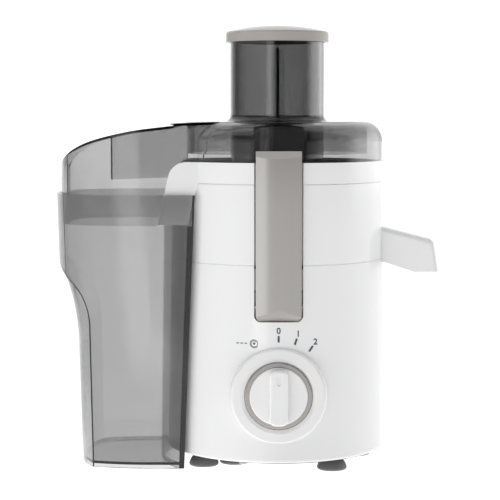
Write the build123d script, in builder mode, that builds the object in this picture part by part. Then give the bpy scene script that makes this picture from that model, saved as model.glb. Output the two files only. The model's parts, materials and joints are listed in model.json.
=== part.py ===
from build123d import *
import math
import os

# Centrifugal juicer, in millimetres, +Z up. The origin is the middle of the footprint, on the ground.
# Radii, and places along X and Y, are measured from the motor axis. Heights are measured from a datum plane
# that lies just above the ground, so only the feet and the pulp container reach below zero.

# ---- driving dimensions ----
bin_reach = 178.0  # motor axis to the nose of the pulp container, at -X
spout_reach = 130.0  # motor axis to the tip of the juice spout, at +X
knob_reach = 100.5  # motor axis to the front of the control knob, at -Y
clamp_reach = 89.5  # motor axis to the outer face of a clamp, front and rear

datum = 2.9  # height of the datum plane above the ground
housing_low = 9.6  # bottom edge of the motor housing
deck = 159.0  # top face of the housing's deck
housing_rim = 162.0  # seam between the housing and the juice collector
chute_floor = 224.2  # deck that the pulp slides over, and the collector's groove
lid_seam = 240.3  # seam between the collector and the lid
lid_top = 271.5
tube_top = 336.5
cap_top = 348.0

foot_radius = 88.6  # outer radius of the housing at its bottom edge
rim_radius = 85.6  # outer radius of the housing at its rim
ring_radius = 85.3  # outer radius of the collector above its groove
lid_radius = 85.0
tube_radius = 37.7
bowl_radius = 70.0
housing_wall = 2.8
bowl_wall = 2.3
clear_wall = 2.2

bin_half_width = 61.5
bin_rim = 214.6
bin_bottom = -1.4
bin_draft = 1.5  # degrees
duct_inset = 3.6  # the duct's skirt stands this far inside the container's outer face
duct_half_width = bin_half_width - duct_inset

clamp_width = 35.0
clamp_slot = 37.5
clamp_top = 249.3
clamp_pivot = (-80.5, 130.0)  # (y, z) of the front clamp's pin
pin_radius = 1.5
pin_half_length = 23.5
heel = 118.9  # lowest edge of a closed clamp
heel_sweep = 12.7  # radius about the pin that the clamp's heel turns inside
slot_low = 118.7  # lowest edge of a clamp channel
slot_floor = 79.5  # the channels are cut in to this distance from the motor axis
pocket_lip = 83.6  # outside this distance the pocket for the heel has a lip
pocket_floor = 73.0

knob_height = 62.0
shaft_radius = 4.0
running_gap = 0.05
core_low = 78.0  # lamination stack of the motor
core_high = 112.0

# ---- reference frames, all through the motor axis ----
axis_x = (bin_reach - spout_reach) / 2
axis_y = (knob_reach - clamp_reach) / 2
ground = Plane(origin=(axis_x, axis_y, datum))
side = Plane(origin=(axis_x, axis_y, datum), x_dir=(1, 0, 0), z_dir=(0, -1, 0))  # (X, height), facing -Y
end = Plane(origin=(axis_x, axis_y, datum), x_dir=(0, 1, 0), z_dir=(1, 0, 0))  # (Y, height), facing +X
middle = Plane(origin=(axis_x, axis_y, datum), x_dir=(1, 0, 0), z_dir=(0, 1, 0))
spin = Axis((axis_x, axis_y, datum), (0, 0, 1))
knob_centre = (axis_x, axis_y, datum + knob_height)
dial_axis = Axis(knob_centre, (0, -1, 0))
dial_face = Plane(origin=knob_centre, x_dir=(1, 0, 0), z_dir=(0, -1, 0))
dial = Plane(origin=knob_centre, x_dir=(1, 0, 0), z_dir=(0, 0, -1))  # (radius, reach)


# ---- shapes that repeat; each joins the part block that it is called in ----
def turn(*outline, plane=side, axis=spin, mode=Mode.ADD):
    """A closed straight-sided (radius, height) outline, revolved about an axis."""
    with BuildSketch(plane) as face:
        with BuildLine():
            Polyline(*outline, close=True)
        make_face()
    revolve(face.sketch, axis=axis, mode=mode)


def turn_dial(*outline, mode=Mode.ADD):
    """A closed (radius, reach) outline, revolved about the knob's axis."""
    turn(*outline, plane=dial, axis=dial_axis, mode=mode)


def block(x, y, z, mode=Mode.ADD):
    """A box between two corners."""
    with BuildSketch(ground.offset(z[0])) as base:
        with Locations(((x[0] + x[1]) / 2, (y[0] + y[1]) / 2)):
            Rectangle(x[1] - x[0], y[1] - y[0])
    extrude(base.sketch, amount=z[1] - z[0], mode=mode)


def post(places, radius, z, mode=Mode.ADD):
    """An upright round bar, or hole, at each (x, y) place."""
    with BuildSketch(ground.offset(z[0])) as base:
        with Locations(*places):
            Circle(radius)
    extrude(base.sketch, amount=z[1] - z[0], mode=mode)


def cross_bar(y, z, radius, half_length, mode=Mode.ADD):
    """A round bar, or hole, along X."""
    with BuildSketch(end) as base:
        with Locations((y, z)):
            Circle(radius)
    extrude(base.sketch, amount=half_length, both=True, mode=mode)


def profile(outline, y, mode=Mode.ADD):
    """A closed straight-sided (x, height) outline, run along Y between two places."""
    with BuildSketch(side.offset(-y[1])) as face:
        with BuildLine():
            Polyline(*outline, close=True)
        make_face()
    extrude(face.sketch, amount=y[1] - y[0], mode=mode)


def nose(plane, inset, inner_x):
    """Plan of the pulp container: straight sides, gentle flanks, rounded corners and a bowed front."""
    with BuildSketch(plane) as plan:
        with BuildLine():
            wall = Line((inner_x + inset, bin_half_width), (-100, bin_half_width))
            flank = TangentArc(wall @ 1, (-153.3, 51.8), tangent=wall % 1)
            corner = TangentArc(flank @ 1, (-169.7, 36.6), tangent=flank % 1)
            bow = TangentArc(corner @ 1, (-bin_reach, 0), tangent=corner % 1)
            mirror(about=Plane.XZ)
            Line((inner_x + inset, bin_half_width), (inner_x + inset, -bin_half_width))
        make_face()
        if inset:
            offset(amount=-inset, kind=Kind.INTERSECTION, mode=Mode.REPLACE)
    return plan.sketch


def export(part, name):
    part.label = name
    export_step(part, "parts/" + name + ".step")


os.makedirs("parts", exist_ok=True)


# ---- motor housing: drafted shell with a deck, a turret for the shaft and a round control panel ----
cover_screws = [(79.5 * math.cos(math.radians(turn_by)), 79.5 * math.sin(math.radians(turn_by)))
                for turn_by in (20, 110, 180, 250)]
motor_mounts = [(37.0, 37.0), (-37.0, 37.0), (-37.0, -37.0), (37.0, -37.0)]
cover_low = 8.8
cover_high = 11.6
gland_height = 22.0
switch_x = 12.0
switch_height = 145.0
panel_radius = 37.3
panel_reach = 88.9
spout_half_width = 17.0

with BuildPart() as control_panel:
    turn_dial((panel_radius - 2.4, 74), (panel_radius, 74), (panel_radius, panel_reach), (29.3, panel_reach),
              (26.4, panel_reach - 0.9), (26.1, panel_reach - 2.4), (5, panel_reach - 2.4), (5, 84),
              (panel_radius - 2.4, 84))
    panel_edge = control_panel.edges().group_by(Axis.Y)[0].sort_by(SortBy.RADIUS)[-1]
    fillet(panel_edge, 2.2)

with BuildPart() as clamp_channel:
    slot_x = (-clamp_slot / 2, clamp_slot / 2)
    cross_bar(*clamp_pivot, heel_sweep, clamp_slot / 2)
    block(slot_x, (-110, -pocket_lip), (110, 150), mode=Mode.SUBTRACT)
    block(slot_x, (-pocket_floor, -50), (110, 150), mode=Mode.SUBTRACT)
    block(slot_x, (-95, -slot_floor), (clamp_pivot[1], lid_seam + 1))
    with BuildSketch(side.offset(pocket_lip)):
        with Locations((0, slot_low + 65)):
            RectangleRounded(clamp_slot, 130, 5)
    extrude(amount=20)

with BuildPart() as motor_housing:
    turn((foot_radius - housing_wall, housing_low), (foot_radius, housing_low), (rim_radius, housing_rim - 0.5),
         (rim_radius - 0.6, housing_rim), (rim_radius - housing_wall, housing_rim),
         (rim_radius - housing_wall, deck), (14, deck), (14, 176), (10, 176), (10, 168), (5.5, 168),
         (5.5, deck - 3), (rim_radius - housing_wall, deck - 3))
    fillet(motor_housing.edges().group_by(Axis.Z)[0].sort_by(SortBy.RADIUS)[-1], 2.4)
    turn_dial((0, 70), (panel_radius - 1, 70), (panel_radius - 1, 95), (0, 95), mode=Mode.SUBTRACT)
    add(control_panel.part)
    for along in (-1, 1):
        block((-24, 24), sorted((82.2 * along, (pocket_floor - 2.5) * along)), (113.5, deck))
        cross_bar(-clamp_pivot[0] * along, clamp_pivot[1], pin_radius, pin_half_length, mode=Mode.SUBTRACT)
    add(clamp_channel.part, mode=Mode.SUBTRACT)
    mirror(clamp_channel.part, about=middle, mode=Mode.SUBTRACT)
    block((70, 95), (-spout_half_width - 0.5, spout_half_width + 0.5), (158.5, housing_rim + 1),
          mode=Mode.SUBTRACT)
    post(cover_screws, 6.5, (cover_high, 40))
    post(cover_screws, 1.6, (cover_high, 36), mode=Mode.SUBTRACT)
    post(motor_mounts, 5.5, (138, deck - 2))
    post(motor_mounts, 1.6, (138, 154), mode=Mode.SUBTRACT)
    block((4, 20), (-66, -52), (147, deck - 2))
    with BuildSketch(side.offset(70)):
        with Locations((switch_x, switch_height)):
            Circle(2.3)
    extrude(amount=12, mode=Mode.SUBTRACT)
    with BuildSketch(side.offset(-75)):
        with Locations((0, gland_height)):
            Circle(6)
    extrude(amount=-20, mode=Mode.SUBTRACT)
export(motor_housing.part, "motor_housing")


# ---- base cover, its screws, and six rubber suction feet ----
feet_places = [(-58.8, -32.4), (43, -47), (-34.5, -23.5), (65.6, 12), (-58.8, 32.4), (43, 47)]

with BuildPart() as base_cover:
    turn((0, cover_low), (84.5, cover_low), (84.5, cover_high), (0, cover_high))
    post(feet_places, 3, (cover_low, cover_high), mode=Mode.SUBTRACT)
    post(cover_screws, 2, (cover_low, cover_high), mode=Mode.SUBTRACT)
    with BuildSketch(ground.offset(cover_low)):
        with PolarLocations(18, 16):
            SlotOverall(18, 3)
    extrude(amount=cover_high - cover_low, mode=Mode.SUBTRACT)
    block((-70, -68), (-8, 8), (cover_high, 26))
    block((-55.8, -53.8), (-8, 8), (cover_high, 26))
export(base_cover.part, "base_cover")

with BuildPart() as base_screws:
    post(cover_screws, 1.6, (cover_low, 24))
    post(cover_screws, 3.2, (cover_low - 1.6, cover_low))
export(base_screws.part, "base_screws")

with BuildPart() as feet:
    for foot_x, foot_y in feet_places:
        place = Plane(origin=(axis_x + foot_x, axis_y + foot_y, 0), x_dir=(1, 0, 0), z_dir=(0, -1, 0))
        cover_face = datum + cover_low
        cover_top = datum + cover_high
        with BuildSketch(place) as foot:
            with BuildLine():
                cup = ThreePointArc((0, 4.6), (4.8, 3.4), (8.6, 0))
                ring_face = Line(cup @ 1, (10.4, 0))
                lip = ThreePointArc(ring_face @ 1, (11.5, 0.7), (11.8, 2))
                flare = TangentArc(lip @ 1, (8.2, 8.4), tangent=(-0.25, 1))
                Polyline(flare @ 1, (6.4, cover_face), (3, cover_face), (3, cover_top), (4.2, cover_top),
                         (2.6, cover_top + 3), (0, cover_top + 3), cup @ 0)
            make_face()
        revolve(foot.sketch, axis=Axis(place.origin, (0, 0, 1)))
export(feet.part, "feet")


# ---- cord gland: the inlet for the supply cord, low at the rear ----
gland = ground.offset(gland_height)
gland_axis = Axis(gland.origin, (0, 1, 0))

with BuildPart() as cord_gland:
    turn((3.6, 79), (8.5, 79), (8.5, 84.6), (6, 84.6), (6, 88.6), (8.5, 88.6), (7.8, clamp_reach - 0.1),
         (3.6, clamp_reach - 0.1), plane=gland, axis=gland_axis)
export(cord_gland.part, "cord_gland")


# ---- juice collector: bowl, pulp chute and spout in one moulding, with a gutter ring round its top ----
bowl_outer = bowl_radius + bowl_wall
ring_inner = ring_radius - 2.4

chute_left = [(-93.8, 191.5), (-85.3, 229.3)]

with BuildPart() as chute_apron:
    turn((ring_inner, chute_floor), (ring_inner, 221.9), (84.9, 221.9), (93.6, 191.5), (95.9, 191.5),
         (86.5, chute_floor))
    block((-120, -50), (-duct_half_width, duct_half_width), (180, 230), mode=Mode.INTERSECT)

with BuildPart() as chute_wings:
    with BuildSketch(side.offset(-duct_half_width)):
        with BuildLine():
            front_line = Line(*chute_left)
            shoulder = TangentArc(front_line @ 1, (-71.9, lid_seam), tangent=front_line % 1)
            Polyline(shoulder @ 1, (-60, lid_seam), (-60.5, chute_floor), (-66, 214), (-70, 191.5),
                     front_line @ 0)
        make_face()
    extrude(amount=2 * duct_half_width)
    block((-120, -50), (-duct_half_width + 2.4, duct_half_width - 2.4), (180, 245), mode=Mode.SUBTRACT)

spout_outline = [(70, 187.3), (84, 187.3), (126, 176.6), (130, 151), (109.5, 151), (84, 159.5), (70, 159.5)]
duct_outline = [(55, 184.8), (83.8, 184.8), (123.6, 174.6), (127.6, 150), (112, 150), (85, 162.5), (55, 164.5)]

with BuildPart() as spout_shell:
    profile(spout_outline, (-spout_half_width, spout_half_width))
    brow = spout_shell.edges().filter_by(Axis.Y).sort_by_distance((axis_x + 126, axis_y, datum + 176.6))[0]
    fillet(brow, 6)
    tip = spout_shell.faces().sort_by(Axis.X)[-1]
    fillet(tip.edges().filter_by(Axis.Y, reverse=True), 4)

with BuildPart() as juice_collector:
    turn((17.6, housing_rim), (66, housing_rim), (66, deck), (68, deck), (68, housing_rim),
         (bowl_outer, housing_rim), (bowl_outer, 222), (rim_radius - 2.6, 222),
         (rim_radius - 2.4, housing_rim), (rim_radius - 0.6, housing_rim), (rim_radius, housing_rim + 0.5),
         (rim_radius - 0.5, chute_floor - 0.8), (rim_radius - 1.5, chute_floor - 0.8),
         (rim_radius - 1.5, chute_floor), (bowl_outer, chute_floor),
         (bowl_outer, 228), (bowl_radius, 228), (bowl_radius, 164.5), (20, 164.5), (20, 196), (17.6, 196))
    block((-95, -55), (-duct_half_width + 2.4, duct_half_width - 2.4), (chute_floor, lid_seam + 1),
          mode=Mode.SUBTRACT)
    add(chute_apron.part)
    add(chute_wings.part)
    add(spout_shell.part)
    profile(duct_outline, (-spout_half_width + 2.2, spout_half_width - 2.2), mode=Mode.SUBTRACT)
    for along in (-1, 1):
        block((-21.4, 21.4), sorted((82 * along, (slot_floor - 2.5) * along)), (housing_rim, chute_floor))
    add(clamp_channel.part, mode=Mode.SUBTRACT)
    mirror(clamp_channel.part, about=middle, mode=Mode.SUBTRACT)
export(juice_collector.part, "juice_collector")

with BuildPart() as gutter_ring:
    turn((ring_inner, chute_floor), (ring_radius, chute_floor), (ring_radius, lid_seam), (ring_inner, lid_seam))
    block((-95, -55), (-duct_half_width, duct_half_width), (chute_floor, lid_seam), mode=Mode.SUBTRACT)
    for along in (-1, 1):
        block((-21.4, 21.4), sorted((82 * along, (slot_floor - 2.5) * along)), (chute_floor, lid_seam))
    add(clamp_channel.part, mode=Mode.SUBTRACT)
    mirror(clamp_channel.part, about=middle, mode=Mode.SUBTRACT)
export(gutter_ring.part, "gutter_ring")


# ---- lid: dome, feed tube and pulp duct in one clear moulding ----
dome_corner = 15.5
dome_flat = lid_radius - dome_corner
dome_spring = lid_top - dome_corner
tube_wall = 2.5
tube_low = 214.0
roof = [(-174, 234.5), (-167.4, 244.8), (-148.8, 255.6), (-128, 261.5), (-107.5, 265.4), (-81, 268.8),
        (-46, lid_top)]


def dome(inset):
    """The dome without its tube, solid right through, inset by a wall."""
    with BuildPart() as solid:
        with BuildSketch(side):
            with BuildLine():
                wall_line = Line((lid_radius - inset, lid_seam), (lid_radius - inset, dome_spring))
                corner = TangentArc(wall_line @ 1, (dome_flat, lid_top - inset), tangent=wall_line % 1)
                Polyline(corner @ 1, (0, lid_top - inset), (0, lid_seam), wall_line @ 0)
            make_face()
        revolve(axis=spin)
    return solid.part


def duct(inset, low, parting):
    """The pulp duct, solid right through, inset by a wall; a parting cuts it back along the chute's wings."""
    with BuildPart() as solid:
        with BuildSketch(side.offset(-80)):
            with BuildLine():
                roof_line = Spline(*[(x, z - inset) for x, z in roof], tangents=[(0.25, 1), (1, 0.03)])
                if parting:
                    drop = Line(roof_line @ 1, (roof[-1][0], lid_seam))
                    shoulder_end = (-85.6, 229.3)
                    brow = Line(drop @ 1, (-72.2, lid_seam))
                    foot_line = Line((-94.3, low), shoulder_end)
                    TangentArc(foot_line @ 1, brow @ 1, tangent=foot_line % 1)
                    Line(foot_line @ 0, (roof[0][0], low))
                else:
                    Polyline(roof_line @ 1, (roof[-1][0], low), (roof[0][0], low))
                Line((roof[0][0], low), roof_line @ 0)
            make_face()
        extrude(amount=160)
        extrude(nose(ground.offset(low - 1), duct_inset + inset, roof[-1][0]), amount=100, mode=Mode.INTERSECT)
    return solid.part


duct_outer = duct(0, 190.7, True)
duct_inner = duct(clear_wall, 180, False)
dome_outer = dome(0)
dome_inner = dome(clear_wall)

with BuildPart() as duct_shell:
    add(duct_outer)
    add(duct_inner, mode=Mode.SUBTRACT)
    add(dome_inner, mode=Mode.SUBTRACT)

with BuildPart() as clamp_recesses:
    for along in (-1, 1):
        block((-21, 21), sorted((84.5 * along, 75.4 * along)), (lid_seam, lid_top))
    add(dome_outer, mode=Mode.INTERSECT)

with BuildPart() as curtain:
    with BuildSketch(ground.offset(225.4)):
        with BuildLine():
            Polyline((-132.8, -20), (-75, 38), (-73.5, 36.5), (-131.3, -21.5), close=True)
        make_face()
    extrude(amount=60)
    add(duct_outer, mode=Mode.INTERSECT)

with BuildPart() as basket_skirt:
    turn((70.5, 246), (72.7, 246), (72.7, lid_top - 1), (70.5, lid_top - 1))

with BuildPart() as lid:
    add(dome_outer)
    add(dome_inner, mode=Mode.SUBTRACT)
    add(duct_inner, mode=Mode.SUBTRACT)
    add(duct_shell.part)
    add(clamp_recesses.part)
    add(curtain.part)
    add(basket_skirt.part)
    for along in (-1, 1):
        block((-18.9, 18.9), sorted((95 * along, 77.5 * along)), (lid_seam, lid_top + 1), mode=Mode.SUBTRACT)
        block((-18.9, 18.9), sorted((80.5 * along, 76.5 * along)), (lid_seam, 246))
    turn((0, tube_low - 1), (tube_radius, tube_low - 1), (tube_radius, tube_top), (0, tube_top))
    neck = lid.edges().filter_by(GeomType.CIRCLE).filter_by(
        lambda edge: abs(edge.radius - tube_radius) < 0.01 and abs(edge.center().Z - datum - lid_top) < 0.01)
    fillet(neck, 5)
    turn((0, 200), (tube_radius + 1, 200), (tube_radius + 1, tube_low), (tube_radius - tube_wall, tube_low),
         (tube_radius - tube_wall, tube_top + 1), (0, tube_top + 1), mode=Mode.SUBTRACT)
    block((-2.5, 2.5), (-36, -33.3), (tube_low + 20, tube_top))
export(lid.part, "lid")


# ---- pusher: clear hollow plunger with a key groove, under a grey cap ----
plunger_radius = tube_radius - tube_wall - 0.5
plunger_low = 218.0
plunger_top = 335.0
plunger_wall = 3.0

with BuildPart() as pusher_body:
    turn((0, plunger_low), (plunger_radius, plunger_low), (plunger_radius, plunger_top),
         (plunger_radius - plunger_wall, plunger_top), (plunger_radius - plunger_wall, plunger_low + 3),
         (0, plunger_low + 3))
    block((-5, 5), (-33.6, -29.6), (plunger_low, plunger_top))
    block((-1, 1), (-31, 33), (plunger_low, plunger_top - 6))
    block((-2.9, 2.9), (-36, -32.8), (plunger_low, plunger_top), mode=Mode.SUBTRACT)
    bottom_edges = pusher_body.edges().group_by(Axis.Z)[0]
    chamfer(bottom_edges, 0.6)
export(pusher_body.part, "pusher_body")

cap_radius = 41.3
plug_low = 334.0  # lowest edge of the cap's plug inside the plunger
with BuildPart() as pusher_cap:
    with BuildSketch(side):
        with BuildLine():
            skirt = Polyline((31.4, plug_low), (31.4, tube_top + 0.1), (38.2, tube_top + 0.1), (38.2, 334.8),
                             (cap_radius, 334.8), (cap_radius, 341.6))
            crown = TangentArc((0, cap_top), (cap_radius - 0.9, 343), tangent=(1, 0))
            Line(skirt @ 1, crown @ 1)
            Polyline(crown @ 0, (0, 344.6), (28.8, 340.5), (28.8, plug_low), skirt @ 0)
        make_face()
    revolve(axis=spin)
    block((-5.4, 5.4), (-34, -28), (plug_low - 1, tube_top + 0.1), mode=Mode.SUBTRACT)
export(pusher_cap.part, "pusher_cap")


# ---- pulp container: clear bin that hooks under the duct and wraps the housing ----
def waist_section(y, inset, foot_x, knee, brow):
    """Outline of what the waist takes off the container's nose at one place across it."""
    with BuildSketch(side.offset(-y)) as section:
        with BuildLine():
            scoop = TangentArc((knee[0] + inset, knee[1]), (brow[0] + inset, brow[1]), tangent=(0, 1))
            Polyline(scoop @ 1, (-205, brow[1]), (-205, -20), (foot_x + inset, -20), scoop @ 0)
        make_face()
    return section.sketch


def bin_block(inset, low):
    """The outside of the container, or its inside when inset by the wall."""
    brow = (-176.6, 163)
    with BuildPart() as scoop:
        edges = [waist_section(y, inset, -138, (-142, 120), brow) for y in (-62, 62)]
        loft([edges[0], waist_section(0, inset, -158, (-161, 88), brow), edges[1]])
    with BuildPart() as solid:
        extrude(nose(ground.offset(bin_rim), inset, -60), amount=low - bin_rim, taper=bin_draft)
        add(scoop.part, mode=Mode.SUBTRACT)
        turn((0, -5), (92.5 + inset, -5), (89.2 + inset, bin_rim + 1), (0, bin_rim + 1), mode=Mode.SUBTRACT)
    return solid.part


bin_skirt = 3.0  # the container stands on a rim this deep round the recess under its floor
bin_outer = bin_block(0, bin_bottom)
bin_inner = bin_block(clear_wall, bin_bottom - 1)

with BuildPart() as bin_floor:
    add(bin_outer)
    block((-190, -60), (-70, 70), (bin_bottom + bin_skirt, bin_bottom + bin_skirt + clear_wall),
          mode=Mode.INTERSECT)

with BuildPart() as pulp_container:
    add(bin_outer)
    fillet(pulp_container.edges().group_by(Axis.Z)[0].filter_by(GeomType.LINE), 1)
    add(bin_inner, mode=Mode.SUBTRACT)
    add(bin_floor.part)
    block((-93, -60), (-bin_half_width + clear_wall, bin_half_width - clear_wall), (190.5, bin_rim + 1),
          mode=Mode.SUBTRACT)
export(pulp_container.part, "pulp_container")


# ---- clamps: two grey arms on pins that hook over the lid's ledges ----
with BuildPart() as clamp_front:
    with BuildSketch(end):
        with BuildLine():
            back = Polyline((-clamp_reach, heel + 10), (-clamp_reach, 243.5), (-84.5, clamp_top),
                            (-77.9, clamp_top), (-77.9, 246.4), (-81, 246.4), (-81, 127), (-83.2, heel),
                            (-84.2, heel))
            TangentArc(back @ 0, back @ 1, tangent=(0, -1))
        make_face()
        with Locations(clamp_pivot):
            Circle(3.6)
    extrude(amount=clamp_width / 2, both=True)
    with BuildSketch(side.offset(70)):
        with Locations((0, (heel + clamp_top) / 2)):
            RectangleRounded(clamp_width, clamp_top - heel, 4.8)
        with Locations((0, clamp_top - 6)):
            Rectangle(clamp_width, 12)
    extrude(amount=30, mode=Mode.INTERSECT)
    turn((0, 100), (clamp_reach, 100), (clamp_reach, 260), (0, 260), mode=Mode.INTERSECT)
    for pocket in range(4):
        pocket_low = 142 + 25.5 * pocket
        block((-15, 15), (-clamp_reach + 2.6, -80), (pocket_low, pocket_low + 23.5), mode=Mode.SUBTRACT)
    cross_bar(clamp_pivot[0], clamp_pivot[1], pin_radius + running_gap, clamp_width, mode=Mode.SUBTRACT)
export(clamp_front.part, "clamp_front")

with BuildPart() as clamp_rear:
    mirror(clamp_front.part, about=middle)
export(clamp_rear.part, "clamp_rear")

with BuildPart() as clamp_pins:
    for along in (-1, 1):
        cross_bar(-clamp_pivot[0] * along, clamp_pivot[1], pin_radius, pin_half_length)
export(clamp_pins.part, "clamp_pins")


# ---- control knob, its ring and spindle, and the switches behind the panel ----
with BuildPart() as control_knob:
    turn_dial((0, 88), (22.2, 88), (22.2, 91.2), (21.6, 91.8), (0, 91.8))
    with BuildSketch(dial_face.offset(91.8)):
        RectangleRounded(15, 43.6, 5)
        Circle(21.9, mode=Mode.INTERSECT)
    extrude(amount=knob_reach - 91.8, taper=3)
    fillet(control_knob.faces().sort_by(Axis.Y)[0].edges(), 1.8)
    with BuildSketch(dial_face.offset(knob_reach)):
        with Locations((0, 14)):
            SlotOverall(9, 2.6, rotation=90)
    extrude(amount=-0.8, mode=Mode.SUBTRACT)
    turn_dial((0, 80), (3, 80), (3, 94), (0, 94), mode=Mode.SUBTRACT)
export(control_knob.part, "control_knob")

with BuildPart() as knob_ring:
    turn_dial((20, 86.9), (25.6, 86.9), (25.6, 89.2), (25.0, 89.7), (22.2, 89.7), (22.2, 88), (20, 88))
export(knob_ring.part, "knob_ring")

with BuildPart() as knob_spindle:
    turn_dial((0, 68), (3, 68), (3, 94), (0, 94))
export(knob_spindle.part, "knob_spindle")

with BuildPart() as rotary_switch:
    block((-15, 15), (-84, -64), (knob_height - 15, knob_height + 15))
    turn_dial((0, 66), (3.05, 66), (3.05, 85), (0, 85), mode=Mode.SUBTRACT)
    for tab in range(4):
        block((-11 + 6.5 * tab, -8 + 6.5 * tab), (-64, -57), (knob_height - 5, knob_height - 4.2))
export(rotary_switch.part, "rotary_switch")

with BuildPart() as interlock_rod:
    with BuildSketch(side.offset(66.3)):
        with Locations((switch_x, switch_height)):
            Circle(2)
    extrude(amount=14.6)
export(interlock_rod.part, "interlock_rod")

with BuildPart() as safety_switch:
    block((4, 20), (-66, -52), (135, 147))
    block((10, 14), (-66.2, -66), (switch_height - 1.5, switch_height + 1.5))
export(safety_switch.part, "safety_switch")


# ---- universal motor: brackets, bushes, laminations, field coils and brush gear ----
tie_places = [(28.5, 0), (-28.5, 0)]
bush_radius = 8.0

with BuildPart() as upper_bracket:
    turn((bush_radius, 127), (10.5, 127), (10.5, 137), (bush_radius, 137))
    with BuildSketch(ground.offset(130)):
        Circle(24)
        with Locations(*motor_mounts):
            Circle(7)
        Rectangle(105, 12, rotation=45)
        Rectangle(105, 12, rotation=-45)
        Rectangle(66, 12)
        Circle(bush_radius, mode=Mode.SUBTRACT)
    extrude(amount=3)
    post(tie_places, 4, (core_high, 130))
    post(tie_places, 1.7, (core_high, 133), mode=Mode.SUBTRACT)
    post(motor_mounts, 2.2, (130, 133), mode=Mode.SUBTRACT)
export(upper_bracket.part, "upper_bracket")

with BuildPart() as lower_bracket:
    turn((bush_radius, 43), (10.5, 43), (10.5, 52), (bush_radius, 52))
    with BuildSketch(ground.offset(47)):
        RectangleRounded(66, 44, 8)
        Circle(bush_radius, mode=Mode.SUBTRACT)
    extrude(amount=3)
    post(tie_places, 4, (50, core_low))
    post([(0, 21), (0, -21)], 3, (50, 59))
    post(tie_places, 1.7, (47, core_low), mode=Mode.SUBTRACT)
export(lower_bracket.part, "lower_bracket")

for name, low in (("upper_bearing", 128), ("lower_bearing", 44)):
    with BuildPart() as bearing:
        turn((shaft_radius + running_gap, low), (bush_radius, low), (bush_radius, low + 8),
             (shaft_radius + running_gap, low + 8))
    export(bearing.part, name)

with BuildPart() as stator_core:
    block((-34, 34), (-30, 30), (core_low, core_high))
    post([(0, 0)], 18, (core_low, core_high), mode=Mode.SUBTRACT)
    for across in (-1, 1):
        for along in (-1, 1):
            window_x = sorted((13.4 * across, 21.1 * across))
            window_y = sorted((13.9 * along, 21.1 * along))
            block(window_x, window_y, (core_low, core_high), mode=Mode.SUBTRACT)
    post(tie_places, 1.7, (core_low, core_high), mode=Mode.SUBTRACT)
export(stator_core.part, "stator_core")

with BuildPart() as field_coils:
    for along in (-1, 1):
        coil_y = sorted((14 * along, 21 * along))
        block((-21, 21), coil_y, (core_low - 8, core_high + 8))
        block((-13.5, 13.5), coil_y, (core_low, core_high), mode=Mode.SUBTRACT)
export(field_coils.part, "field_coils")

with BuildPart() as motor_screws:
    post(tie_places, 1.5, (44, 133))
    post(tie_places, 3, (44, 47))
    post(tie_places, 3, (133, 135.4))
    post(motor_mounts, 1.6, (130, 150))
    post(motor_mounts, 3.4, (127.6, 130))
export(motor_screws.part, "motor_screws")

with BuildPart() as motor_dampers:
    post(motor_mounts, 6.5, (133, 138))
    post(motor_mounts, 1.7, (133, 138), mode=Mode.SUBTRACT)
export(motor_dampers.part, "motor_dampers")

brush_height = 63.0
with BuildPart() as brush_holders:
    for along in (-1, 1):
        block((-4.2, 4.2), sorted((12 * along, 28 * along)), (brush_height - 4, brush_height + 4))
        block((-3, 3), sorted((12 * along, 28 * along)), (brush_height - 3, brush_height + 3),
              mode=Mode.SUBTRACT)
export(brush_holders.part, "brush_holders")

with BuildPart() as carbon_brushes:
    for along in (-1, 1):
        block((-3, 3), sorted((8 * along, 22 * along)), (brush_height - 3, brush_height + 3))
    post([(0, 0)], 10 + running_gap, (brush_height - 4, brush_height + 4), mode=Mode.SUBTRACT)
export(carbon_brushes.part, "carbon_brushes")

with BuildPart() as shaft_seal:
    turn((shaft_radius + running_gap, 168), (10, 168), (10, 173), (7, 173), (5, 175.5),
         (shaft_radius + running_gap, 175.5))
export(shaft_seal.part, "shaft_seal")

with BuildPart() as suppressor_capacitor:
    block((-68, -55.8), (-13, 13), (cover_high, 34))
    fillet(suppressor_capacitor.edges().filter_by(Axis.Z), 1.5)
export(suppressor_capacitor.part, "suppressor_capacitor")


# ---- rotor: shaft, fan, commutator, armature, coupling and the spinning filter basket ----
with BuildPart() as motor_shaft:
    turn((0, 23), (shaft_radius - 0.5, 23), (shaft_radius, 23.5), (shaft_radius, 186), (0, 186))
export(motor_shaft.part, "motor_shaft")

with BuildPart() as cooling_fan:
    turn((shaft_radius, 26), (31, 26), (31, 27.6), (9, 27.6), (8, 38), (shaft_radius, 38))
    with BuildSketch(ground.offset(27.6)):
        with PolarLocations(19.5, 11):
            Rectangle(20, 1.4, rotation=24)
    extrude(amount=9)
export(cooling_fan.part, "cooling_fan")

with BuildPart() as commutator:
    turn((shaft_radius, 56), (10, 56), (10, 68.6), (11, 68.6), (11, 70), (shaft_radius, 70))
    with BuildSketch(ground.offset(56)):
        with PolarLocations(9.8, 24):
            Rectangle(1.4, 0.5)
    extrude(amount=12.6, mode=Mode.SUBTRACT)
export(commutator.part, "commutator")

with BuildPart() as armature_core:
    with BuildSketch(ground.offset(core_low)):
        Circle(17.2)
        with PolarLocations(16.6, 12):
            Rectangle(2.4, 1.6, mode=Mode.SUBTRACT)
        Circle(shaft_radius, mode=Mode.SUBTRACT)
    extrude(amount=core_high - core_low)
export(armature_core.part, "armature_core")

with BuildPart() as armature_windings:
    turn((shaft_radius, 71), (11, 71), (13.2, 73.5), (13.2, core_low), (shaft_radius, core_low))
    turn((shaft_radius, core_high), (13.2, core_high), (13.2, 116.5), (11, 119), (shaft_radius, 119))
export(armature_windings.part, "armature_windings")

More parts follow.
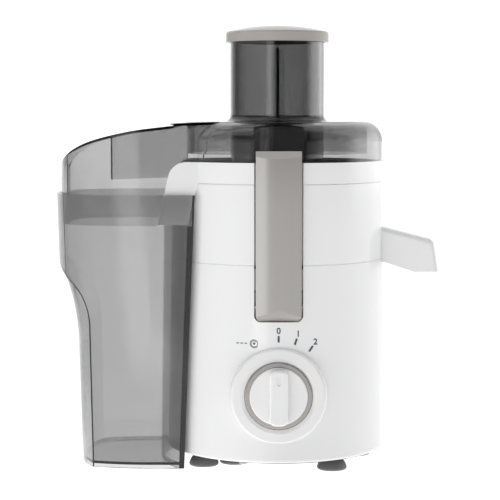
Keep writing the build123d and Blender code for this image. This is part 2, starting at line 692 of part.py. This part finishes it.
with BuildPart() as drive_coupling:
    turn((shaft_radius, 177), (10, 177), (10, 190), (8.5, 191.8), (0, 191.8), (0, 186), (shaft_radius, 186))
    with BuildSketch(ground.offset(180)):
        with PolarLocations(10, 6):
            Circle(1.4, mode=Mode.ADD)
    extrude(amount=10)
export(drive_coupling.part, "drive_coupling")

with BuildPart() as filter_hub:
    turn((11.6, 179), (15.8, 179), (15.8, 199), (26, 203.6), (48, 205), (48, 209.6), (46.2, 209.6), (46.2, 208),
         (0, 208), (0, 191.8), (11.6, 191.8))
export(filter_hub.part, "filter_hub")

with BuildPart() as grating_disc:
    turn((0, 208), (46.2, 208), (46.2, 209.2), (0, 209.2))
    for ring in range(6):
        with Locations(Pos(axis_x, axis_y, datum + 209.2 + 0.55)):
            with PolarLocations(11 + 6 * ring, 6 + 3 * ring, start_angle=14 * ring):
                Cone(0.9, 0.25, 1.1)
export(grating_disc.part, "grating_disc")

with BuildPart() as filter_mesh:
    turn((46.2, 209.6), (48, 209.6), (66.8, 229.4), (65.9, 229.4))
export(filter_mesh.part, "filter_mesh")

with BuildPart() as filter_rim:
    turn((65, 229.4), (73.4, 229.4), (73.4, 226), (75, 226), (75, 238.2), (74.6, 238.6), (73, 238.6),
         (72.4, 233.4), (69.5, 231.4), (65, 231.4))
export(filter_rim.part, "filter_rim")
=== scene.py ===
import json
import math

import bmesh
import bpy
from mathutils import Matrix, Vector


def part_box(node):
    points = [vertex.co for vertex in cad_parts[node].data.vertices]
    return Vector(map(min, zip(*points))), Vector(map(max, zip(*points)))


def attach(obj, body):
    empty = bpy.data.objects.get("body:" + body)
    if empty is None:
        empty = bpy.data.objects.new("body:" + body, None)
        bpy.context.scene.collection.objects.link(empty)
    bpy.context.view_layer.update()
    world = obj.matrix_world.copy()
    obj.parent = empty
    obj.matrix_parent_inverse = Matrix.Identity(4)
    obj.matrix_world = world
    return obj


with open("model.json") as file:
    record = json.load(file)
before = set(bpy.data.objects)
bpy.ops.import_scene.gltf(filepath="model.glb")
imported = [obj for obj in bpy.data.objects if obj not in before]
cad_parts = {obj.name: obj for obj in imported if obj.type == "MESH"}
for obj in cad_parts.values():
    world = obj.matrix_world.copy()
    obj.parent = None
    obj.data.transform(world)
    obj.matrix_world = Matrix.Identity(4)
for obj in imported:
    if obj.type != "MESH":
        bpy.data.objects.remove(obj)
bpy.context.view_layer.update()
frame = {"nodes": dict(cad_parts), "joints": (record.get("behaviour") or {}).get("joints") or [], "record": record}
nodes = frame["nodes"]
joints = {joint["name"]: joint for joint in frame["joints"]}
MM = 0.001  # one millimetre, in metres

# ---- places taken from the frame ----
axis_x, axis_y = joints["rotor_spin"]["pos_m"][:2]
knob_x, _, knob_z = joints["knob_turn"]["pos_m"]
housing_low, housing_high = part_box("motor_housing")
foot_radius = (housing_high.x - housing_low.x) / 2
housing_draft = 2.95 * MM  # the housing's radius lessens by this from its bottom edge to its rim
spout_drop = 11 * MM  # the housing's rim lies this far above the lowest point of the spout
rim_radius = foot_radius - housing_draft
rim_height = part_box("juice_collector")[0].z + spout_drop


# ---- node helpers ----
def new_material(name):
    """A material, its node tree and its Principled node."""
    material = bpy.data.materials.new(name)
    material.use_nodes = True
    tree = material.node_tree
    return material, tree, tree.nodes["Principled BSDF"]


def noise(tree, scale, detail):
    """Noise over the object's own coordinates, which are metres in the frame."""
    place = tree.nodes.new("ShaderNodeTexCoord")
    texture = tree.nodes.new("ShaderNodeTexNoise")
    texture.inputs["Scale"].default_value = scale
    texture.inputs["Detail"].default_value = detail
    tree.links.new(place.outputs["Object"], texture.inputs["Vector"])
    return texture


def spread(tree, value, low, high):
    """Maps a noise, which keeps mostly between 0.3 and 0.7, onto a range and returns the socket."""
    ranged = tree.nodes.new("ShaderNodeMapRange")
    ranged.inputs["From Min"].default_value = 0.3
    ranged.inputs["From Max"].default_value = 0.7
    ranged.inputs["To Min"].default_value = low
    ranged.inputs["To Max"].default_value = high
    tree.links.new(value, ranged.inputs["Value"])
    return ranged.outputs["Result"]


def math_node(tree, operation, first, second):
    """Arithmetic on two values, each a number or a socket; returns the socket."""
    node = tree.nodes.new("ShaderNodeMath")
    node.operation = operation
    for socket, value in zip(node.inputs, (first, second)):
        if isinstance(value, float):
            socket.default_value = value
        else:
            tree.links.new(value, socket)
    return node.outputs["Value"]


def ease(tree, value, first, last, low, high):
    """Goes smoothly from low to high while a value goes from first to last."""
    node = tree.nodes.new("ShaderNodeMapRange")
    node.interpolation_type = "SMOOTHSTEP"
    node.inputs["From Min"].default_value = first
    node.inputs["From Max"].default_value = last
    node.inputs["To Min"].default_value = low
    node.inputs["To Max"].default_value = high
    tree.links.new(value, node.inputs["Value"])
    return node.outputs["Result"]


def bump(tree, shader, height, distance):
    """Roughens a shader's normal by a height, over a depth in metres."""
    node = tree.nodes.new("ShaderNodeBump")
    node.inputs["Distance"].default_value = distance
    node.inputs["Strength"].default_value = 1.0
    tree.links.new(height, node.inputs["Height"])
    tree.links.new(node.outputs["Normal"], shader.inputs["Normal"])


def tint(tree, shader, value, first, second):
    """Colour that drifts between two tones with a value."""
    mix = tree.nodes.new("ShaderNodeMix")
    mix.data_type = "RGBA"
    mix.inputs["A"].default_value = (*first, 1)
    mix.inputs["B"].default_value = (*second, 1)
    tree.links.new(value, mix.inputs["Factor"])
    tree.links.new(mix.outputs["Result"], shader.inputs["Base Color"])


# ---- materials ----
def gloss_white():
    """White moulded ABS: glossy, with a faint orange peel and a trace of mould flow in its gloss."""
    material, tree, shader = new_material("gloss_white")
    peel = noise(tree, 420, 1.0)
    flow = noise(tree, 14, 3.0)
    tint(tree, shader, flow.outputs["Fac"], (0.86, 0.86, 0.865), (0.885, 0.885, 0.885))
    tree.links.new(spread(tree, flow.outputs["Fac"], 0.10, 0.15), shader.inputs["Roughness"])
    bump(tree, shader, peel.outputs["Fac"], 0.01 * MM)
    shader.inputs["IOR"].default_value = 1.52
    shader.inputs["Specular IOR Level"].default_value = 0.7
    return material


def warm_grey(name, dark, light, sheen):
    """Warm grey plastic with a fine spark-eroded grain, from matt to semi-gloss by its sheen of 0 to 1."""
    material, tree, shader = new_material(name)
    grain = noise(tree, 2600, 2.0)
    flow = noise(tree, 20, 2.0)
    tint(tree, shader, flow.outputs["Fac"], dark, light)
    tree.links.new(spread(tree, grain.outputs["Fac"], 0.15, 0.20), shader.inputs["Roughness"])
    bump(tree, shader, grain.outputs["Fac"], 0.008 * MM)
    shader.inputs["IOR"].default_value = 1.5
    shader.inputs["Specular IOR Level"].default_value = sheen
    shader.inputs["Coat Weight"].default_value = sheen
    shader.inputs["Coat Roughness"].default_value = 0.08
    shader.inputs["Coat IOR"].default_value = 1.6
    return material


def smoked_clear(name, density):
    """Smoke-grey clear plastic: a polished, faintly uneven skin, and a tint that deepens with thickness."""
    material, tree, shader = new_material(name)
    haze = noise(tree, 60, 3.0)
    tint(tree, shader, haze.outputs["Fac"], (0.95, 0.95, 0.95), (1.0, 1.0, 1.0))
    tree.links.new(spread(tree, haze.outputs["Fac"], 0.0, 0.02), shader.inputs["Roughness"])
    shader.inputs["Transmission Weight"].default_value = 1.0
    shader.inputs["IOR"].default_value = 1.49
    smoke = tree.nodes.new("ShaderNodeVolumeAbsorption")
    smoke.inputs["Color"].default_value = (0.30, 0.30, 0.30, 1)
    smoke.inputs["Density"].default_value = density
    tree.links.new(smoke.outputs["Volume"], tree.nodes["Material Output"].inputs["Volume"])
    return material


def plain_plastic(name, dark, light, rough):
    """Moulded plastic with a matt, slightly uneven skin."""
    material, tree, shader = new_material(name)
    grain = noise(tree, 1400, 2.0)
    flow = noise(tree, 30, 3.0)
    tint(tree, shader, flow.outputs["Fac"], dark, light)
    tree.links.new(spread(tree, flow.outputs["Fac"], rough - 0.06, rough + 0.06), shader.inputs["Roughness"])
    bump(tree, shader, grain.outputs["Fac"], 0.02 * MM)
    return material


def metal(name, dark, light, rough, stretch):
    """Metal with fine brushing stretched along one direction."""
    material, tree, shader = new_material(name)
    place = tree.nodes.new("ShaderNodeTexCoord")
    squeeze = tree.nodes.new("ShaderNodeMapping")
    squeeze.inputs["Scale"].default_value = stretch
    grain = tree.nodes.new("ShaderNodeTexNoise")
    grain.inputs["Scale"].default_value = 900
    grain.inputs["Detail"].default_value = 3
    tree.links.new(place.outputs["Object"], squeeze.inputs["Vector"])
    tree.links.new(squeeze.outputs["Vector"], grain.inputs["Vector"])
    tint(tree, shader, grain.outputs["Fac"], dark, light)
    tree.links.new(spread(tree, grain.outputs["Fac"], rough - 0.07, rough + 0.07), shader.inputs["Roughness"])
    bump(tree, shader, grain.outputs["Fac"], 0.01 * MM)
    shader.inputs["Metallic"].default_value = 1.0
    return material


def perforated(name):
    """Stainless sheet pierced by rows of small round holes, laid out round the motor axis."""
    material = metal(name, (0.50, 0.50, 0.50), (0.62, 0.62, 0.61), 0.3, (1, 1, 14))
    tree = material.node_tree
    place = tree.nodes.new("ShaderNodeTexCoord")
    split = tree.nodes.new("ShaderNodeSeparateXYZ")
    tree.links.new(place.outputs["Object"], split.inputs["Vector"])
    across = math_node(tree, "SUBTRACT", split.outputs["X"], axis_x)
    ahead = math_node(tree, "SUBTRACT", split.outputs["Y"], axis_y)
    holes_round = 300
    column = math_node(tree, "MULTIPLY", math_node(tree, "ARCTAN2", across, ahead), holes_round / math.tau)
    row = math_node(tree, "DIVIDE", split.outputs["Z"], 1.2 * MM)
    layout = tree.nodes.new("ShaderNodeCombineXYZ")
    tree.links.new(column, layout.inputs["X"])
    tree.links.new(row, layout.inputs["Y"])
    cells = tree.nodes.new("ShaderNodeTexVoronoi")
    cells.voronoi_dimensions = "2D"
    cells.inputs["Scale"].default_value = 1.0
    cells.inputs["Randomness"].default_value = 0.0
    tree.links.new(layout.outputs["Vector"], cells.inputs["Vector"])
    sheet = ease(tree, cells.outputs["Distance"], 0.27, 0.33, 0.0, 1.0)
    tree.links.new(sheet, tree.nodes["Principled BSDF"].inputs["Alpha"])
    return material


def ink():
    """Slate pad-printing ink, a little uneven."""
    material, tree, shader = new_material("dial_ink")
    grain = noise(tree, 1800, 2.0)
    tint(tree, shader, grain.outputs["Fac"], (0.050, 0.065, 0.085), (0.070, 0.088, 0.110))
    tree.links.new(spread(tree, grain.outputs["Fac"], 0.3, 0.45), shader.inputs["Roughness"])
    return material


white = gloss_white()
grey = warm_grey("warm_grey", (0.295, 0.276, 0.258), (0.312, 0.292, 0.274), 1.0)
cap_grey = warm_grey("warm_grey_cap", (0.420, 0.394, 0.370), (0.440, 0.413, 0.389), 0.08)
clear = smoked_clear("smoked_clear", 285.0)
clear_container = smoked_clear("smoked_clear_container", 340.0)
clear_plunger = smoked_clear("smoked_clear_plunger", 240.0)
black_plastic = plain_plastic("black_plastic", (0.018, 0.018, 0.018), (0.028, 0.028, 0.028), 0.5)
filter_plastic = plain_plastic("filter_plastic", (0.010, 0.010, 0.010), (0.018, 0.018, 0.018), 0.35)
rubber = plain_plastic("rubber", (0.17, 0.17, 0.17), (0.21, 0.21, 0.21), 0.6)
carbon = plain_plastic("carbon", (0.012, 0.012, 0.012), (0.02, 0.02, 0.02), 0.7)
stainless = metal("stainless", (0.50, 0.50, 0.50), (0.62, 0.62, 0.61), 0.3, (1, 1, 14))
mesh_steel = perforated("mesh_steel")
shaft_steel = metal("shaft_steel", (0.42, 0.42, 0.42), (0.55, 0.55, 0.55), 0.35, (1, 1, 9))
laminations = metal("laminations", (0.16, 0.16, 0.17), (0.24, 0.24, 0.25), 0.5, (1, 1, 40))
copper = metal("copper", (0.60, 0.27, 0.13), (0.72, 0.36, 0.19), 0.4, (1, 1, 30))
bronze = metal("bronze", (0.55, 0.38, 0.16), (0.65, 0.47, 0.22), 0.4, (1, 1, 6))
printed = ink()

slot_materials = {
    "housing_white": white,
    "trim_grey": grey,
    "smoked_clear": clear,
    "base_plastic": black_plastic,
    "filter_plastic": filter_plastic,
    "foot_rubber": rubber,
    "stainless": stainless,
    "shaft_steel": shaft_steel,
    "lamination_steel": laminations,
    "copper_winding": copper,
    "bronze": bronze,
    "carbon": carbon,
}
node_materials = {
    "pulp_container": clear_container,
    "pusher_body": clear_plunger,
    "pusher_cap": cap_grey,
    "filter_mesh": mesh_steel,
}


def dress_cad_nodes():
    """Every CAD node takes the procedural material of its slot, or its own variant of it."""
    for part in frame["record"]["subparts"]:
        node = nodes[part["node"]]
        material = node_materials.get(part["node"], slot_materials[part["material_slot"]])
        node.data.materials.clear()
        node.data.materials.append(material)


dress_cad_nodes()


# ---- printed dial marks, wrapped on the housing ----
film_thickness = 0.1 * MM
film_lift = 0.12 * MM  # the film's outer face stands this far off the housing
tick_inner = 41.3 * MM  # distances of the marks from the knob's axis
tick_outer = 46.3 * MM
tick_width = 1.5 * MM
numeral_radius = 50.0 * MM
numeral_height = 4.7 * MM
capital_share = 0.72  # a numeral's height as a share of its font's size
numeral_weight = 0.12 * MM  # thickens the font's strokes on every side
pulse_radius = 44.4 * MM
speed_angles = {"0": 0.0, "1": math.radians(17.5), "2": math.radians(34.6)}
pulse_angle = math.radians(-25)


def on_housing(x, z, lift):
    """A point of the housing's drafted front, x beside the motor axis and z high, lifted off the surface."""
    share = (z - housing_low.z) / (rim_height - housing_low.z)
    radius = foot_radius + (rim_radius - foot_radius) * share + lift
    return Vector((axis_x + x, axis_y - math.sqrt(radius**2 - x**2), z))


def wrap(flat, name):
    """A flat printed shape, drawn round the knob's axis, wrapped on the housing as a thin film."""
    film = bmesh.new()
    film.from_mesh(flat)
    bmesh.ops.subdivide_edges(film, edges=film.edges, cuts=2, use_grid_fill=True)
    for vertex in film.verts:
        vertex.co = on_housing(knob_x - axis_x + vertex.co.x, knob_z + vertex.co.y, film_lift)
    film.normal_update()
    mesh = bpy.data.meshes.new(name)
    film.to_mesh(mesh)
    film.free()
    piece = bpy.data.objects.new(name, mesh)
    bpy.context.scene.collection.objects.link(piece)
    thick = piece.modifiers.new("film", "SOLIDIFY")
    thick.thickness = film_thickness
    thick.offset = -1
    mesh.materials.append(printed)
    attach(piece, "base")


def polygon(points, faces):
    """A flat mesh from points and from faces that list them."""
    mesh = bpy.data.meshes.new("flat")
    mesh.from_pydata([(x, y, 0) for x, y in points], [], faces)
    return mesh


def tick(name, angle):
    """A short radial bar with its angle clockwise from the top."""
    along = Vector((math.sin(angle), math.cos(angle)))
    across = Vector((along.y, -along.x)) * tick_width / 2
    points = [along * tick_inner - across, along * tick_outer - across,
              along * tick_outer + across, along * tick_inner + across]
    wrap(polygon(points, [(0, 1, 2, 3)]), name)


def numeral(name, text, angle):
    """An upright number, outside the tick at the same angle."""
    curve = bpy.data.curves.new("numeral", "FONT")
    curve.body = text
    curve.size = numeral_height / capital_share
    curve.offset = numeral_weight
    curve.align_x = "CENTER"
    curve.align_y = "CENTER"
    holder = bpy.data.objects.new("numeral", curve)
    flat = bpy.data.meshes.new_from_object(holder)
    bpy.data.objects.remove(holder)
    for vertex in flat.vertices:
        vertex.co.x += numeral_radius * math.sin(angle)
        vertex.co.y += numeral_radius * math.cos(angle)
    wrap(flat, name)


def arc_strip(name, centre, radius, width, start, turn, steps, grow=0.0):
    """A curved band, whose radius may grow along it."""
    points = []
    for step in range(steps + 1):
        share = step / steps
        angle = start + turn * share
        middle = radius + grow * share
        for edge in (-0.5, 0.5):
            reach = middle + edge * width
            points.append((centre.x + reach * math.cos(angle), centre.y + reach * math.sin(angle)))
    faces = [(2 * step, 2 * step + 1, 2 * step + 3, 2 * step + 2) for step in range(steps)]
    wrap(polygon(points, faces), name)


def dash(name, centre, half_length=1.0 * MM, half_width=0.35 * MM):
    """A short level bar."""
    points = [(centre.x - half_length, centre.y - half_width), (centre.x + half_length, centre.y - half_width),
              (centre.x + half_length, centre.y + half_width), (centre.x - half_length, centre.y + half_width)]
    wrap(polygon(points, [(0, 1, 2, 3)]), name)


def dial_marks():
    """A tick and a number for each speed, and a spiral with three dashes for pulse."""
    for text, angle in speed_angles.items():
        tick("dial_tick_" + text, angle)
        numeral("dial_numeral_" + text, text, angle)
    pulse = Vector((math.sin(pulse_angle), math.cos(pulse_angle))) * pulse_radius
    arc_strip("pulse_spiral", pulse, 2.0 * MM, 0.45 * MM, 0.6, 1.8 * math.tau, 56, 1.4 * MM)
    arc_strip("pulse_dot", pulse, 0.45 * MM, 0.9 * MM, 0.0, math.tau, 20)
    first_dash = 6.4 * MM  # from the spiral's middle, and then from dash to dash
    dash_pitch = 3.1 * MM
    for count in range(3):
        dash("pulse_dash_" + str(count + 1), pulse + Vector((-first_dash - dash_pitch * count, 0)))


dial_marks()


# ---- floor, light and camera ----
# Light by direction round the motor axis, in degrees from the front towards +X: (direction, strength). The
# table glows by the first list near the juicer and by the second farther out. The horizon, with the table's
# far end and the low part of the backdrop, follows the third.
near_table = [(-180, 0.92), (-120, 0.92), (-104, 1.2), (-70, 1.35), (-12, 1.35), (-8, 1.1), (135, 1.1),
              (150, 0.92), (180, 0.92)]
far_table = [(-180, 0.92), (-143, 0.92), (-132, 0.7), (-112, 0.7), (-100, 1.1), (-70, 1.15), (-30, 1.15),
             (-23, 2.5), (-13, 2.5), (-9, 1.1), (135, 1.1), (150, 0.92), (180, 0.92)]
horizon = [(-180, 1.1), (-152, 1.1), (-142, 0.3), (-104, 0.3), (-80, 0.6), (-30, 0.6), (-23, 1.7), (-13, 1.7),
           (-9, 0.05), (78, 0.05), (96, 2.0), (135, 2.0), (150, 1.1), (180, 1.1)]
strongest = 4.0  # a colour ramp holds each strength as a share of this
near_to_far = (0.35, 0.6)  # distances from the motor axis over which one list gives way to the next
far_to_horizon = (4.0, 8.0)
horizon_to_sky = (0.10, 0.45)  # upward parts of a direction over which the sky takes over from the horizon
sky_dim = 0.12  # the sky's strength at the front, and at the back and overhead
sky_bright = 1.1
table_half = 30.0
aim_height = 0.18  # the softbox faces this height of the juicer
lens = 122.4
camera_left = 21.9 * MM  # the camera and what it aims at lie this far left of the motor axis
camera_distance = 1.377
camera_height = 283.3 * MM
camera_aim = 170.1 * MM


def between(tree, first, second, share):
    """A strength that goes from the first to the second as the share goes from 0 to 1."""
    mix = tree.nodes.new("ShaderNodeMix")
    tree.links.new(share, mix.inputs["Factor"])
    tree.links.new(first, mix.inputs["A"])
    tree.links.new(second, mix.inputs["B"])
    return mix.outputs["Result"]


def round_the_axis(tree, place, stops):
    """Strength by direction round the motor axis, from a list of (degrees, strength)."""
    split = tree.nodes.new("ShaderNodeSeparateXYZ")
    tree.links.new(place, split.inputs["Vector"])
    ahead = math_node(tree, "MULTIPLY", split.outputs["Y"], -1.0)
    turn = math_node(tree, "ARCTAN2", split.outputs["X"], ahead)
    share = math_node(tree, "MULTIPLY_ADD", turn, 1 / math.tau)
    share.node.inputs[2].default_value = 0.5
    ramp = tree.nodes.new("ShaderNodeValToRGB")
    tree.links.new(share, ramp.inputs["Fac"])
    colours = ramp.color_ramp.elements
    while len(colours) < len(stops):
        colours.new(1.0)
    for element, (degrees, strength) in zip(colours, stops):
        element.position = (degrees + 180) / 360
        level = strength / strongest
        element.color = (level, level, level, 1)
    return math_node(tree, "MULTIPLY", ramp.outputs["Color"], strongest)


def floor():
    """A plain pale table whose glow is painted light: it shines brighter in some directions round the motor axis
    and lights the juicer like softboxes, and it meets the backdrop without a line.
    """
    material, tree, shader = new_material("studio_floor")
    mottle = noise(tree, 6, 2.0)
    tint(tree, shader, mottle.outputs["Fac"], (0.24, 0.24, 0.24), (0.26, 0.26, 0.26))
    shader.inputs["Roughness"].default_value = 0.6
    shader.inputs["Specular IOR Level"].default_value = 0.2
    shader.inputs["Emission Color"].default_value = (1, 1, 1, 1)
    place = tree.nodes.new("ShaderNodeNewGeometry")
    centred = tree.nodes.new("ShaderNodeVectorMath")
    centred.operation = "SUBTRACT"
    centred.inputs[1].default_value = (axis_x, axis_y, 0)
    tree.links.new(place.outputs["Position"], centred.inputs[0])
    reach = tree.nodes.new("ShaderNodeVectorMath")
    reach.operation = "LENGTH"
    tree.links.new(centred.outputs["Vector"], reach.inputs[0])
    near, far, level = [round_the_axis(tree, centred.outputs["Vector"], stops)
                        for stops in (near_table, far_table, horizon)]
    table = between(tree, near, far, ease(tree, reach.outputs["Value"], *near_to_far, 0.0, 1.0))
    glow = between(tree, table, level, ease(tree, reach.outputs["Value"], *far_to_horizon, 0.0, 1.0))
    # painted light: the table's emission, by direction and distance, lights the juicer in place of softboxes
    tree.links.new(glow, shader.inputs["Emission Strength"])
    mesh = bpy.data.meshes.new("studio_floor")
    corners = [(-table_half, -table_half, 0), (table_half, -table_half, 0), (table_half, table_half, 0),
               (-table_half, table_half, 0)]
    mesh.from_pydata(corners, [], [(0, 1, 2, 3)])
    mesh.materials.append(material)
    plane = bpy.data.objects.new("studio_floor", mesh)
    bpy.context.scene.collection.objects.link(plane)


def studio_world():
    """White light from behind and above, a dim front, and a horizon that changes with direction."""
    world = bpy.data.worlds.new("studio")
    bpy.context.scene.world = world
    world.use_nodes = True
    tree = world.node_tree
    place = tree.nodes.new("ShaderNodeTexCoord").outputs["Generated"]
    back_and_up = tree.nodes.new("ShaderNodeVectorMath")
    back_and_up.operation = "DOT_PRODUCT"
    back_and_up.inputs[1].default_value = (0.0, 1.0, 0.5)
    tree.links.new(place, back_and_up.inputs[0])
    overhead = ease(tree, back_and_up.outputs["Value"], 0.0, 0.35, sky_dim, sky_bright)
    level = round_the_axis(tree, place, horizon)
    split = tree.nodes.new("ShaderNodeSeparateXYZ")
    tree.links.new(place, split.inputs["Vector"])
    climb = ease(tree, split.outputs["Z"], *horizon_to_sky, 0.0, 1.0)
    backdrop = tree.nodes["Background"]
    backdrop.inputs["Color"].default_value = (1, 1, 1, 1)
    tree.links.new(between(tree, level, overhead, climb), backdrop.inputs["Strength"])


def softbox(name, azimuth, distance, height, size, power):
    """A soft square panel, its azimuth counted from the front towards +X, facing the juicer."""
    light = bpy.data.lights.new(name, "AREA")
    light.shape = "SQUARE"
    light.size = size
    light.energy = power
    lamp = bpy.data.objects.new(name, light)
    bpy.context.scene.collection.objects.link(lamp)
    turn = math.radians(azimuth)
    lamp.location = (axis_x + distance * math.sin(turn), axis_y - distance * math.cos(turn), height)
    aim = Vector((axis_x, axis_y, aim_height)) - lamp.location
    lamp.rotation_euler = aim.to_track_quat("-Z", "Y").to_euler()


def camera():
    """A long lens, a little left of the motor axis, just above the lid and tilted down."""
    data = bpy.data.cameras.new("camera")
    data.lens = lens
    data.sensor_width = 36.0
    eye = bpy.data.objects.new("camera", data)
    bpy.context.scene.collection.objects.link(eye)
    target = Vector((axis_x - camera_left, axis_y, camera_aim))
    eye.location = (target.x, axis_y - camera_distance, camera_height)
    eye.rotation_euler = (target - eye.location).to_track_quat("-Z", "Y").to_euler()
    bpy.context.scene.camera = eye


floor()
studio_world()
softbox("top_softbox", -35, 0.9, 1.6, 1.2, 4)
camera()
bpy.context.scene.view_settings.view_transform = "Standard"
